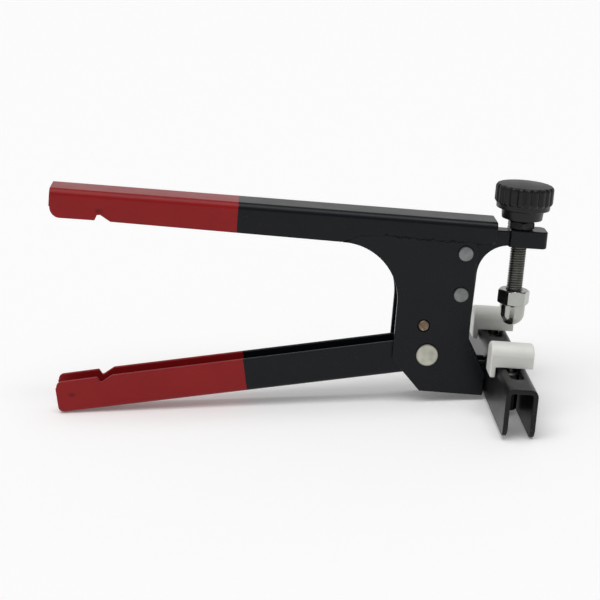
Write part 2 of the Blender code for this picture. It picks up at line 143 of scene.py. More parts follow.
# outlines
def roundCorners(corners):
    # corners (a, b) or (a, b, radius) as points, each rounded one an arc touching both its sides
    points = []
    for index, corner in enumerate(corners):
        here = np.array(corner[:2], float)
        radius = corner[2] if len(corner) > 2 else 0.0
        if radius == 0.0:
            points.append(here[None])
            continue
        before = np.array(corners[index - 1][:2], float) - here
        after = np.array(corners[(index + 1) % len(corners)][:2], float) - here
        before /= np.linalg.norm(before)
        after /= np.linalg.norm(after)
        half = math.acos(float(np.clip(before @ after, -1, 1))) / 2
        middle = here + (before + after) / np.linalg.norm(before + after) * radius / math.sin(half)
        first = here + before * radius / math.tan(half) - middle
        last = here + after * radius / math.tan(half) - middle
        turn = math.atan2(first[0] * last[1] - first[1] * last[0], first @ last)
        count = max(3, round(abs(math.degrees(turn)) / 90 * (5 + 2 * radius ** 0.5)))
        swing = np.linspace(0, turn, count + 1)[:, None]
        swung = np.cos(swing) * first + np.sin(swing) * np.array((-first[1], first[0]))
        points.append(middle + swung)
    return np.concatenate(points)


def ringPoints(centre, radius, steps=48):
    swing = np.arange(steps) * math.tau / steps
    return np.stack((centre[0] + radius * np.cos(swing), centre[1] + radius * np.sin(swing)), -1)


def leftNormals(loop):
    # at each point of a closed loop, the mitred unit offset to the left of its direction of travel
    forward = np.roll(loop, -1, axis=-2) - loop
    forward /= np.maximum(np.linalg.norm(forward, axis=-1, keepdims=True), 1e-9)
    left = np.stack((-forward[..., 1], forward[..., 0]), -1)
    both = left + np.roll(left, 1, axis=-2)
    return both / np.maximum((both * both).sum(-1, keepdims=True) / 2, 0.4)


def travellingLeft(loop):
    # a loop that turns left encloses a positive area
    return np.sum(loop[:, 0] * np.roll(loop[:, 1], -1) - np.roll(loop[:, 0], -1) * loop[:, 1]) > 0


def travelling(loop, anticlockwise):
    return loop if travellingLeft(loop) == anticlockwise else loop[::-1]


def plate(loops, low, high, rounding=0.5, axis="y", steps=3):
    # an outline moved in by r(1 - sin a) at height r(1 - cos a) from each face, a from 0 to 90 degrees
    quarter = np.linspace(0, math.pi / 2, steps + 1)
    inset = rounding * (1 - np.sin(quarter))
    rise = rounding * (1 - np.cos(quarter))
    insets = np.concatenate((inset, inset[::-1]))
    heights = np.concatenate((low + rise, high - rise[::-1]))
    order = {"y": (0, 2, 1), "z": (0, 1, 2)}[axis]
    rows = len(insets)
    loops = [travelling(np.asarray(loop, float), index == 0) for index, loop in enumerate(loops)]
    points, faces, start = [], [], 0
    for loop in loops:
        flat = loop[None] + insets[:, None, None] * leftNormals(loop)[None]
        height = np.broadcast_to(heights[:, None, None], (rows, len(loop), 1))
        points.append(np.concatenate((flat, height), -1)[..., list(order)].reshape(-1, 3))
        faces += gridFaces(rows, len(loop), wrapColumns=True, start=start)
        start += rows * len(loop)
    rims = [loop + insets[0] * leftNormals(loop) for loop in loops]
    starts = np.cumsum([0] + [rows * len(loop) for loop in loops[:-1]])
    numbers = np.concatenate([begin + np.arange(len(loop)) for begin, loop in zip(starts, loops)])
    lasts = np.concatenate([begin + (rows - 1) * len(loop) + np.arange(len(loop))
                            for begin, loop in zip(starts, loops)])
    for triangle in capFaces(rims, 0):
        faces.append(tuple(int(numbers[i]) for i in triangle))
        faces.append(tuple(int(lasts[i]) for i in reversed(triangle)))
    return np.concatenate(points), faces


def prism(loop, low, high, axis="y"):
    return plate([loop], low, high, 0.0, axis, 1)


def channel(stations, rimHeight, floorHeight, halfWidth, sheet, bend, place, rim=0.7):
    # a pressed U carried along its length s: across, it runs up one side, round the bends and the floor
    # and up the other, out and back, its rim at rimHeight(s) and its floor at floorHeight(s)
    up = 1.0 if rimHeight[len(stations) // 2] > floorHeight[len(stations) // 2] else -1.0
    corner = np.linspace(0, math.pi / 2, 7)
    small = np.linspace(0, math.pi / 2, 4)
    outer = (halfWidth - bend + bend * np.sin(corner), bend - bend * np.cos(corner))  # floor to side
    inner = (halfWidth - bend + (bend - sheet) * np.sin(corner), bend - (bend - sheet) * np.cos(corner))
    lip = np.concatenate((
        np.stack((halfWidth - rim + rim * np.cos(small), -rim + rim * np.sin(small)), -1),
        np.stack((halfWidth - sheet + rim - rim * np.sin(small), -rim + rim * np.cos(small)), -1)))
    a = np.concatenate((outer[0], lip[:, 0], inner[0][::-1]))
    b = np.concatenate((outer[1], lip[:, 1], inner[1][::-1]))
    onRim = np.concatenate((np.zeros(7), np.ones(8), np.zeros(7)))
    a = np.concatenate((a, -a[::-1]))  # the right half out to its lip and back, then the left half mirrored
    b = np.concatenate((b, b[::-1]))
    onRim = np.concatenate((onRim, onRim[::-1]))
    base = onRim[None] * rimHeight[:, None] + (1 - onRim[None]) * floorHeight[:, None]
    section = np.stack((np.broadcast_to(a, base.shape), base + up * b), -1)
    first, last = section[:1], section[-1:]
    sign = 1.0 if travellingLeft(section[0]) else -1.0
    quarter = np.linspace(0, math.pi / 2, 4)[:, None, None]
    inset = sign * endRound * (1 - np.sin(quarter))
    run = endRound * np.cos(quarter[:-1, 0, 0])
    section = np.concatenate(((first + inset * leftNormals(first))[:-1], section,
                              (last + inset[::-1] * leftNormals(last))[1:]))
    stations = np.concatenate((stations[0] - run, stations, stations[-1] + run[::-1]))
    count = section.shape[1]
    points = place(np.broadcast_to(stations[:, None], section.shape[:2]), section[..., 0], section[..., 1])
    faces = gridFaces(len(stations), count, wrapColumns=True)
    faces += capFaces([section[0]], 0) + capFaces([section[-1]], (len(stations) - 1) * count, True)
    return points.reshape(-1, 3), faces


def turned(radius, height, axisPoint=(0.0, 0.0), axis="z", steps=48, closed=False):
    # r(angle, row) about an axis, at height(row); radius is one number per row or a row-by-angle grid
    radius = np.asarray(radius, float)
    swing = np.arange(steps) * math.tau / steps
    if radius.ndim == 1:
        radius = np.broadcast_to(radius[:, None], (len(radius), steps))
    height = np.asarray(height, float)
    if height.ndim == 1:
        height = np.broadcast_to(height[:, None], radius.shape)
    a = axisPoint[0] + radius * np.cos(swing)
    b = axisPoint[1] + radius * np.sin(swing)
    stack = {"z": (a, b, height), "y": (a, height, b)}[axis]
    points = np.stack(stack, -1)
    rows = len(radius)
    faces = gridFaces(rows, steps, wrapRows=closed, wrapColumns=True)
    if not closed:
        faces += [tuple(range(steps)), tuple(reversed(range((rows - 1) * steps, rows * steps)))]
    return points.reshape(-1, 3), faces


def hexRadius(corner, swing, turn):
    # distance from the axis to a hexagon with corners at that radius
    wedge = (swing - turn) % (math.pi / 3) - math.pi / 6
    return corner * math.cos(math.pi / 6) / np.cos(wedge)


# shared shader groups
def socket(group, name, kind, out=False, value=None):
    made = group.interface.new_socket(name=name, in_out="OUTPUT" if out else "INPUT", socket_type=kind)
    if value is not None:
        made.default_value = value
    return made


def newGroup(name, inputs, outputs):
    group = bpy.data.node_groups.new(name, "ShaderNodeTree")
    for label, value in inputs.items():
        socket(group, label, "NodeSocketFloat", value=value)
    for label in outputs:
        socket(group, label, "NodeSocketFloat", out=True)
    return group, group.nodes.new("NodeGroupInput"), group.nodes.new("NodeGroupOutput")


def node(tree, kind, links=None, **settings):
    made = tree.nodes.new(kind)
    for label, value in settings.items():
        setattr(made, label, value)
    for key, source in (links or {}).items():
        target = made.inputs[key]
        if hasattr(source, "is_output"):
            tree.links.new(source, target)
        else:
            target.default_value = source
    return made


def math2(tree, operation, first, second=0.0, clamp=False):
    made = node(tree, "ShaderNodeMath", {0: first, 1: second}, operation=operation, use_clamp=clamp)
    return made.outputs[0]


def noise(tree, scale, detail=2.0, roughness=0.5, vector=None):
    vector = vector or node(tree, "ShaderNodeTexCoord").outputs["Object"]
    return node(tree, "ShaderNodeTexNoise", {"Vector": vector, "Scale": scale, "Detail": detail,
                                             "Roughness": roughness}).outputs["Fac"]


def spread(tree, value, low, high):
    # 0 below low, 1 above high, a straight ramp between
    return node(tree, "ShaderNodeMapRange", {"Value": value, "From Min": low, "From Max": high},
                clamp=True).outputs["Result"]


def makeOrangePeel():
    # sprayed paint: soft dimples on long waves
    group, given, result = newGroup("orangePeel", {"Scale": 900.0, "Waves": 0.4}, ["Height"])
    fine = noise(group, given.outputs["Scale"], 1.0)
    coarse = noise(group, math2(group, "MULTIPLY", given.outputs["Scale"], 0.16), 1.0)
    height = math2(group, "ADD", fine, math2(group, "MULTIPLY", coarse, given.outputs["Waves"]))
    group.links.new(height, result.inputs["Height"])
    return group


def makeEdgeWearAndHighlight():
    # where an edge is rounded the smoothed normal leaves the true one; noise breaks the line up. The mask
    # lightens those edges: partly rubbed wear, partly a painted highlight along the edge
    group, given, result = newGroup("edgeWearAndHighlight", {"Radius": 0.0006, "Scale": 300.0, "Amount": 0.5}, ["Mask"])
    soft = node(group, "ShaderNodeBevel", {"Radius": given.outputs["Radius"]}, samples=6).outputs["Normal"]
    true = node(group, "ShaderNodeNewGeometry").outputs["True Normal"]
    facing = node(group, "ShaderNodeVectorMath", {0: soft, 1: true}, operation="DOT_PRODUCT").outputs["Value"]
    edge = spread(group, facing, 0.97, 0.8)
    broken = spread(group, noise(group, given.outputs["Scale"], 4.0, 0.65), 0.45, 0.62)
    mask = math2(group, "MULTIPLY", math2(group, "MULTIPLY", edge, broken), given.outputs["Amount"], True)
    group.links.new(mask, result.inputs["Mask"])
    return group


def makeSpeckle():
    # small scattered grains, such as dust nibs in paint or pits in metal
    group, given, result = newGroup("speckle", {"Scale": 700.0, "Amount": 0.3}, ["Mask"])
    where = node(group, "ShaderNodeTexCoord").outputs["Object"]
    cell = node(group, "ShaderNodeTexVoronoi", {"Vector": where, "Scale": given.outputs["Scale"]})
    grain = spread(group, cell.outputs["Distance"], 0.22, 0.1)
    patch = spread(group, noise(group, math2(group, "MULTIPLY", given.outputs["Scale"], 0.3)), 0.5, 0.6)
    mask = math2(group, "MULTIPLY", math2(group, "MULTIPLY", grain, patch), given.outputs["Amount"], True)
    group.links.new(mask, result.inputs["Mask"])
    return group


def makeClouds():
    # slow changes of tone over the surface, about 0.5
    group, given, result = newGroup("clouds", {"Scale": 60.0, "Contrast": 1.0}, ["Value"])
    drift = math2(group, "SUBTRACT", noise(group, given.outputs["Scale"], 4.0, 0.6), 0.5)
    value = math2(group, "ADD", math2(group, "MULTIPLY", drift, given.outputs["Contrast"]), 0.5, True)
    group.links.new(value, result.inputs["Value"])
    return group


groups = {"peel": makeOrangePeel(), "wearAndHighlight": makeEdgeWearAndHighlight(), "speckle": makeSpeckle(), "clouds": makeClouds()}


def placeGroup(tree, name, **values):
    made = tree.nodes.new("ShaderNodeGroup")
    made.node_tree = groups[name]
    for label, value in values.items():
        made.inputs[label].default_value = value
    return made.outputs[0]


def blendColour(tree, amount, first, second):
    mixed = node(tree, "ShaderNodeMix", {"Factor": amount}, data_type="RGBA")
    for target, source in ((mixed.inputs["A"], first), (mixed.inputs["B"], second)):
        if hasattr(source, "is_output"):
            tree.links.new(source, target)
        else:
            target.default_value = (*source, 1.0)
    return mixed.outputs["Result"]


def shaded(tree, amount, base):
    # the base colour times 1 - amount
    keep = math2(tree, "SUBTRACT", 1.0, amount)
    grey = node(tree, "ShaderNodeCombineColor", {"Red": keep, "Green": keep, "Blue": keep}).outputs["Color"]
    mixed = node(tree, "ShaderNodeMix", {"Factor": 1.0}, data_type="RGBA", blend_type="MULTIPLY")
    tree.links.new(grey, mixed.inputs["B"])
    if hasattr(base, "is_output"):
        tree.links.new(base, mixed.inputs["A"])
    else:
        mixed.inputs["A"].default_value = (*base, 1.0)
    return mixed.outputs["Result"]


def twoTone(tree, spec):
    # one colour behind the masked line and another in front of it, the line square to the handle
    where = node(tree, "ShaderNodeTexCoord").outputs["Object"]
    measured = node(tree, "ShaderNodeVectorMath", {0: where, 1: tuple(spec["along"])},
                    operation="DOT_PRODUCT").outputs["Value"]
    waver = math2(tree, "MULTIPLY", math2(tree, "SUBTRACT", noise(tree, 400.0), 0.5), 0.0006)
    line = float(handlePivot @ spec["along"]) + spec["line"] * millimetre
    front = spread(tree, math2(tree, "ADD", measured, waver), line - 0.00008, line + 0.00008)
    return blendColour(tree, front, spec["behind"], spec["ahead"])


def farFrom(tree, centres, squash=(1.0, 1.0, 1.0)):
    # distance, seen from the side, to the nearest of some centres, in metres
    where = node(tree, "ShaderNodeTexCoord").outputs["Object"]
    nearest = None
    for centre in centres:
        spot = placed((centre[0], 0.0, centre[1]))
        moved = node(tree, "ShaderNodeVectorMath", {0: where, 1: tuple(spot)},
                     operation="SUBTRACT").outputs[0]
        flat = node(tree, "ShaderNodeVectorMath", {0: moved, 1: (squash[0], 0.0, squash[2])},
                    operation="MULTIPLY").outputs[0]
        away = node(tree, "ShaderNodeVectorMath", {0: flat}, operation="LENGTH").outputs["Value"]
        nearest = away if nearest is None else math2(tree, "MINIMUM", nearest, away)
    return nearest


def makeFinish(name, spec):
    material = bpy.data.materials.new(name)
    material.use_nodes = True
    tree = material.node_tree
    shader = tree.nodes["Principled BSDF"]
    shader.inputs["Metallic"].default_value = spec.get("metallic", 0.0)
    shader.inputs["Specular IOR Level"].default_value = spec.get("specular", 0.5)
    shader.inputs["Subsurface Weight"].default_value = spec.get("milky", 0.0)
    shader.inputs["Subsurface Radius"].default_value = (0.003, 0.003, 0.003)
    clouds = placeGroup(tree, "clouds", Scale=spec["cloudScale"], Contrast=spec["cloudContrast"])
    base = twoTone(tree, spec["tones"]) if "tones" in spec else spec["colour"]
    colour = shaded(tree, math2(tree, "MULTIPLY", clouds, spec["cloudShade"]), base)
    rough = math2(tree, "ADD", math2(tree, "MULTIPLY", clouds, spec["roughSpread"]), spec["rough"])
    if "wearAndHighlight" in spec:
        # rounded edges drawn towards a lighter colour: rubbed wear and a painted edge highlight
        wearAndHighlight = placeGroup(tree, "wearAndHighlight", **spec["wearAndHighlight"])
        colour = blendColour(tree, wearAndHighlight, colour, spec["wearAndHighlightColour"])
    speckle = placeGroup(tree, "speckle", **spec["speckle"])
    colour = blendColour(tree, speckle, colour, spec["speckleColour"])
    rough = math2(tree, "ADD", rough, math2(tree, "MULTIPLY", speckle, 0.2), True)
    if "rim" in spec:  # grime and shadow in the turned edge of a head
        away = farFrom(tree, spec["rim"]["centres"])
        edge = spread(tree, away, spec["rim"]["radius"] * 0.00086, spec["rim"]["radius"] * 0.00099)
        colour = shaded(tree, math2(tree, "MULTIPLY", edge, spec["rim"]["shade"]), colour)
    if "dimple" in spec:  # a shallow pressed dent, its colour darker towards the middle
        away = farFrom(tree, [spec["dimple"]], (0.62, 1.0, 1.0))
        dent = spread(tree, away, 0.0016, 0.0003)
        colour = shaded(tree, math2(tree, "MULTIPLY", dent, 0.45), colour)
    tree.links.new(colour, shader.inputs["Base Color"])
    tree.links.new(rough, shader.inputs["Roughness"])
    height = placeGroup(tree, "peel", **spec["peel"])
    if "grain" in spec:  # fine lines across the grain direction
        where = node(tree, "ShaderNodeTexCoord").outputs["Object"]
        drawn = node(tree, "ShaderNodeMapping", {"Vector": where, "Scale": spec["grain"]}).outputs["Vector"]
        height = math2(tree, "ADD", height, noise(tree, 1.0, 3.0, 0.6, drawn))
    height = math2(tree, "ADD", height, math2(tree, "MULTIPLY", speckle, spec.get("pits", 0.5)))
    if "dimple" in spec:
        height = math2(tree, "SUBTRACT", height, math2(tree, "MULTIPLY", dent, 3.0))
    bump = node(tree, "ShaderNodeBump", {"Height": height, "Strength": spec["bump"],
                                         "Distance": spec["depth"]})
    tree.links.new(bump.outputs["Normal"], shader.inputs["Normal"])
    return material


red = (0.31, 0.01, 0.012)
black = (0.0045, 0.0058, 0.0085)
paintLook = {
    "colour": black, "rough": 0.17, "roughSpread": 0.12, "specular": 0.2,
    "cloudScale": 70.0, "cloudContrast": 1.2, "cloudShade": 0.25,
    # edges go lighter towards this colour: rubbed wear and a painted highlight
    "wearAndHighlight": {"Radius": 0.0004, "Scale": 420.0, "Amount": 0.22}, "wearAndHighlightColour": (0.08, 0.08, 0.085),
    "speckle": {"Scale": 900.0, "Amount": 0.25}, "speckleColour": (0.03, 0.032, 0.036),
    "peel": {"Scale": 800.0, "Waves": 0.6}, "bump": 0.35, "depth": 0.0001,
}
finishLooks = {
    "blackPaint": {},
    "upperHandlePaint": {"colour": red, "rough": 0.24,
                         "wearAndHighlight": {"Radius": 0.0004, "Scale": 420.0, "Amount": 0.2},
                         "speckleColour": (0.2, 0.05, 0.05), "wearAndHighlightColour": (0.3, 0.1, 0.1),
                         "dimple": (-168.4, 62.3),
                         "tones": {"along": alongTool, "line": -100.0, "behind": red, "ahead": black}},
    "lowerHandlePaint": {"colour": red, "rough": 0.24,
                         "wearAndHighlight": {"Radius": 0.0004, "Scale": 420.0, "Amount": 0.2},
                         "speckleColour": (0.2, 0.05, 0.05), "wearAndHighlightColour": (0.3, 0.1, 0.1),
                         "dimple": (-177.2, -34.2),
                         "tones": {"along": lowerAlong, "line": -92.5, "behind": red, "ahead": black}},
    "barPaint": {"colour": (0.009, 0.0095, 0.0105), "rough": 0.3, "specular": 0.22,
                 "speckle": {"Scale": 600.0, "Amount": 0.6}, "speckleColour": (0.12, 0.12, 0.12),
                 "peel": {"Scale": 1100.0, "Waves": 0.8}, "bump": 0.5},
    "rivetSteel": {"colour": (0.31, 0.32, 0.32), "metallic": 1.0, "rough": 0.26, "roughSpread": 0.2,
                   "cloudScale": 260.0, "cloudShade": 0.5, "wearAndHighlightColour": (0.9, 0.9, 0.88),
                   "speckleColour": (0.3, 0.29, 0.27), "peel": {"Scale": 420.0, "Waves": 1.4},
                   "rim": {"centres": [(14.5, 53.4), (14.1, 32.3)], "radius": 3.8, "shade": 0.75},
                   "bump": 0.6, "depth": 0.00025, "grain": (300.0, 300.0, 1500.0)},
    "pivotSteel": {"colour": (0.66, 0.65, 0.56), "metallic": 1.0, "rough": 0.22, "roughSpread": 0.22,
                   "cloudScale": 200.0, "cloudShade": 0.5, "wearAndHighlightColour": (0.92, 0.9, 0.84),
                   "speckleColour": (0.34, 0.3, 0.22), "peel": {"Scale": 300.0, "Waves": 1.6},
                   "rim": {"centres": [(0.0, 0.0)], "radius": 5.65, "shade": 0.7},
                   "bump": 0.7, "depth": 0.0003},
    "copperPin": {"colour": (0.5, 0.36, 0.26), "metallic": 1.0, "rough": 0.3, "roughSpread": 0.2,
                  "cloudScale": 500.0, "cloudShade": 0.9, "wearAndHighlightColour": (0.85, 0.72, 0.6),
                  "speckle": {"Scale": 1100.0, "Amount": 0.8}, "speckleColour": (0.16, 0.08, 0.04),
                  "peel": {"Scale": 900.0, "Waves": 1.5}, "bump": 1.0, "depth": 0.0004},
    "zincSteel": {"colour": (0.55, 0.55, 0.52), "metallic": 1.0, "rough": 0.34, "roughSpread": 0.2,
                  "cloudScale": 220.0, "cloudShade": 0.5, "wearAndHighlightColour": (0.8, 0.8, 0.76),
                  "speckleColour": (0.2, 0.2, 0.18), "bump": 0.4},
    "studZinc": {"colour": (0.22, 0.22, 0.2), "metallic": 1.0, "rough": 0.3, "roughSpread": 0.2,
                 "cloudScale": 300.0, "cloudShade": 0.6, "wearAndHighlightColour": (0.85, 0.83, 0.78),
                 "wearAndHighlight": {"Radius": 0.0002, "Scale": 900.0, "Amount": 0.6},
                 "speckleColour": (0.16, 0.14, 0.12), "bump": 0.3},
    "polishedNickel": {"colour": (0.45, 0.46, 0.43), "metallic": 1.0, "rough": 0.12, "roughSpread": 0.12,
                       "cloudScale": 120.0, "cloudShade": 0.2, "wearAndHighlightColour": (0.95, 0.95, 0.93),
                       "speckle": {"Scale": 1200.0, "Amount": 0.2}, "speckleColour": (0.4, 0.4, 0.38),
                       "peel": {"Scale": 300.0, "Waves": 1.0}, "bump": 0.12},
    "blackOxide": {"colour": (0.045, 0.045, 0.048), "metallic": 1.0, "rough": 0.3, "roughSpread": 0.2,
                   "cloudScale": 300.0, "cloudShade": 0.6, "wearAndHighlightColour": (0.45, 0.45, 0.44),
                   "wearAndHighlight": {"Radius": 0.0003, "Scale": 600.0, "Amount": 0.7},
                   "speckleColour": (0.2, 0.2, 0.19), "bump": 0.4},
    "springSteel": {"colour": (0.42, 0.40, 0.37), "metallic": 1.0, "rough": 0.26,
                    "cloudScale": 300.0, "cloudShade": 0.6, "wearAndHighlightColour": (0.6, 0.6, 0.58),
                    "speckleColour": (0.1, 0.09, 0.08), "bump": 0.3},
    "nylonWhite": {"colour": (0.82, 0.82, 0.78), "rough": 0.36, "roughSpread": 0.15, "specular": 0.45,
                   "milky": 0.25, "cloudScale": 90.0, "cloudShade": 0.12,
                   "wearAndHighlight": {"Radius": 0.0005, "Scale": 500.0, "Amount": 0.12}, "wearAndHighlightColour": (0.9, 0.9, 0.88),
                   "speckle": {"Scale": 500.0, "Amount": 0.15}, "speckleColour": (0.5, 0.48, 0.4),
                   "peel": {"Scale": 700.0, "Waves": 1.2}, "bump": 0.3},
    "knobPlastic": {"colour": (0.004, 0.0045, 0.005), "rough": 0.3, "roughSpread": 0.15, "specular": 0.36,
                    "cloudScale": 160.0, "cloudShade": 0.3,
                    "wearAndHighlight": {"Radius": 0.0004, "Scale": 700.0, "Amount": 0.3},
                    "wearAndHighlightColour": (0.12, 0.12, 0.12),
                    "speckle": {"Scale": 1500.0, "Amount": 0.4}, "speckleColour": (0.07, 0.07, 0.07),
                    "peel": {"Scale": 2200.0, "Waves": 0.5}, "bump": 0.5, "depth": 0.00012},
}
finishes = {name: makeFinish(name, {**paintLook, **look}) for name, look in finishLooks.items()}
print("finishes made:", len(finishes))

# handles
upper = {"rear": -193.1, "front": 29.4, "top": 69.9, "slope": math.tan(math.radians(0.5)),
         "halfWidth": 11.0, "sheet": 2.0, "bend": 3.4, "seam": 58.4, "frontTop": 67.0}
lower = {"rear": -188.4, "front": 8.6, "floor": -8.95, "slope": math.tan(math.radians(0.26)),
         "halfWidth": 8.3, "sheet": 2.0, "bend": 3.0, "turnUp": 2.6,
         "pinHole": 3.8, "driveHole": 2.1, "drivePin": 7.4}


def stationsFor(rimLine, step):
    # the rim line's own stations and an even spacing between, no two closer than a fiftieth of a millimetre
    low, high = rimLine[0, 0], rimLine[-1, 0]
    every = np.concatenate((rimLine[:, 0], np.arange(low + step, high - 0.5 * step, step)))
    every = np.unique(np.round(every, 3))
    keep = np.concatenate(([True], np.diff(every) > 0.02))
    keep[-1] = True
    return every[keep]


def drawnIn(s, by=endRound, over=8.0):
    # the end stations move in by the end rounding, eased to nothing over the last few millimetres
    low, high = s.min(), s.max()
    return np.interp(s, [low, low + over, high - over, high], [low + by, low + over, high - over, high - by])


def upperHandle(u=upper):
    rim = roundCorners([
        (u["rear"], 70.0), (u["rear"], 57.2, 5.5),
        (-170.2, 57.2, 0.5), (-169.2, 59.9, 0.5), (-167.6, 60.1, 0.6), (-162.4, 57.0, 0.6),  # keeper notch
        (-47.6, 54.9, 1.0), (-37.0, u["seam"], 4.0), (u["front"], u["seam"], 3.0),
        (u["front"], u["frontTop"])])[1:-1]
    s = stationsFor(rim, 5.0)
    rimHeight = np.interp(s, rim[:, 0], rim[:, 1])
    top = u["top"] + (u["front"] - s) * u["slope"]
    return channel(drawnIn(s), rimHeight, top, u["halfWidth"], u["sheet"], u["bend"],
                   lambda s, a, b: np.stack((s, a, b), -1))


def fromLower(s, a, b):
    # along the lower handle, across it and square to it, as tool x, y, z
    return np.stack((s * math.cos(handleTilt) - b * math.sin(handleTilt), a,
                     s * math.sin(handleTilt) + b * math.cos(handleTilt)), -1)


def lowerHandle(l=lower):
    rim = roundCorners([
        (l["rear"], -5.0), (l["rear"], 8.3, 3.0),
        (-166.7, 8.5, 0.5), (-165.2, 5.4, 0.8), (-158.9, 8.6, 0.6),  # keeper notch
        (-4.95, 8.5), (-4.9, 11.6, 2.6), (4.9, 11.6, 2.6), (4.95, 8.5),  # ear round the drive pin
        (l["front"], 8.5, 3.2), (l["front"], 0.0)])[1:-1]
    s = stationsFor(rim, 5.0)
    rimHeight = np.interp(s, rim[:, 0], rim[:, 1])
    turnUp = l["turnUp"]  # the floor rises on a flattened quarter circle at the rear
    fromEnd = np.clip(s - l["rear"], 0, turnUp)
    rise = turnUp - np.sqrt(turnUp ** 2 - (turnUp - fromEnd) ** 2)
    floor = l["floor"] - s * l["slope"] + 0.45 * rise
    return channel(drawnIn(s), rimHeight, floor, l["halfWidth"], l["sheet"], l["bend"], fromLower)


def lowerCutters(l=lower):
    under = roundCorners([(-4.0, -14.0), (-4.0, -6.2, 1.0), (4.6, -6.2), (6.2, -5.9), (7.5, -5.0),
                          (8.3, -3.7), (8.7, -2.2), (14.0, -2.2), (14.0, -14.0)])
    shapes = [under, ringPoints((0.0, 0.0), l["pinHole"], 40),
              ringPoints((0.0, l["drivePin"]), l["driveHole"], 24)]
    cutters = []
    for shape in shapes:
        points, faces = prism(shape, -12.0, 12.0)
        cutters.append((fromLower(points[:, 0], points[:, 1], points[:, 2]), faces))
    return cutters


makePiece("upperHandle", upperHandle(), "frame", finishes["upperHandlePaint"],
          ["upper_handle"])
makePiece("lowerHandle", lowerHandle(), "handle", finishes["lowerHandlePaint"],
          ["lower_handle"], cutters=lowerCutters())
print("handles made")

# cheeks, arm and jaw levers
pinSpacing = 15.3
pivots = {"handle": (0.0, 0.0),
          "jaw": (-pinSpacing * math.sin(handleTilt), pinSpacing * math.cos(handleTilt)),
          "upperRivet": (14.5, 53.4), "lowerRivet": (14.1, 32.3)}
cheek = {"inner": 8.7, "outer": 11.0, "seam": 58.38, "handleHole": 3.8, "jawHole": 2.95, "rivetHole": 2.8}
cheekShape = roundCorners([
    (-47.0, 54.87), (-37.0, cheek["seam"], 4.0), (20.4, cheek["seam"]), (20.4, 9.7, 3.0), (30.2, -7.8, 1.5),
    (30.2, -19.6, 1.0), (-2.2, -19.3, 1.5), (-17.4, -3.4, 1.5), (-17.2, 54.55, 29.5)])
rivetHoles = [ringPoints(pivots["upperRivet"], cheek["rivetHole"]),
              ringPoints(pivots["lowerRivet"], cheek["rivetHole"])]
jawHole = ringPoints(pivots["jaw"], cheek["jawHole"])
cheekHoles = [ringPoints(pivots["handle"], cheek["handleHole"]), jawHole] + rivetHoles
for sideName, sign in (("near", -1), ("far", 1)):
    span = sorted((sign * cheek["inner"], sign * cheek["outer"]))
    makePiece(sideName + "Cheek", plate([cheekShape] + cheekHoles, *span, endRound),
              "frame", finishes["blackPaint"], [sideName + "_cheek"])

arm = {"top": 66.0, "bottom": 57.6, "halfNeck": 4.6, "screwX": 42.3, "bore": 4.3}
armNeck = roundCorners([(6.8, arm["top"] - 1.0, 2.0), (6.8, 19.0, 1.5), (21.4, 19.0, 2.0), (22.3, 57.5, 15.5),
                        (37.4, 57.5), (37.4, arm["top"] - 1.0)])
armBlock = roundCorners([(36.4, -7.0, 1.5), (55.5, -7.0, 3.0), (55.5, 7.0, 3.0), (36.4, 7.0, 1.5)])
boltHole = ringPoints((arm["screwX"], 0.0), arm["bore"])
makePiece("upperArm", joined(
    plate([armNeck] + rivetHoles, -arm["halfNeck"], arm["halfNeck"], 0.6),
    plate([armBlock, boltHole], arm["bottom"] - 0.4, arm["top"], 0.7, "z", 4)),
    "frame", finishes["blackPaint"], ["upper_arm"])


def leverShape(eyeTop=5.4, foot=4.5, slot=2.1, tine=4.7):
    # an eye round the jaw pin, a fork down over the drive pin and a nose out to the bar
    def turnedToHandle(corners):
        return [(s * math.cos(handleTilt) - t * math.sin(handleTilt),
                 s * math.sin(handleTilt) + t * math.cos(handleTilt), *r) for s, t, *r in corners]
    top = pinSpacing + eyeTop
    slotTop = pinSpacing - 4.9
    fork = turnedToHandle([
        (-tine, top, 5.2), (-tine, foot, 1.2), (-slot, foot, 0.6), (-slot, slotTop, 1.9),
        (slot, slotTop, 1.9), (slot, foot, 0.6), (tine, foot, 1.2)])
    nose = [(6.4, 6.5, 1.5), (6.6, -6.5, 4.0), (21.0, -19.2, 3.0), (31.0, -19.2), (31.0, -2.9),
            (26.4, -2.9, 2.0), (19.5, 8.6, 4.0)]
    return roundCorners(fork + nose + turnedToHandle([(4.6, top, 4.0)]))


lever = {"inner": 3.5, "outer": 6.0}
for sideName, sign in (("near", -1), ("far", 1)):
    span = sorted((sign * lever["inner"], sign * lever["outer"]))
    makePiece(sideName + "JawLever", plate([leverShape(), jawHole], *span, 0.35),
              "jaw", finishes["blackPaint"], [sideName + "_jaw_lever"])
print("cheeks, arm and levers made")

# jaw bar and pads
bar = {"left": 31.3, "right": 46.8, "top": 4.2, "bottom": -20.0, "half": 76.0, "sheet": 2.4, "bend": 3.6,
       "slot": 6.6, "slotStart": 17.0, "slotEnd": 59.0, "corner": 4.0}
barMiddle = (bar["left"] + bar["right"]) / 2


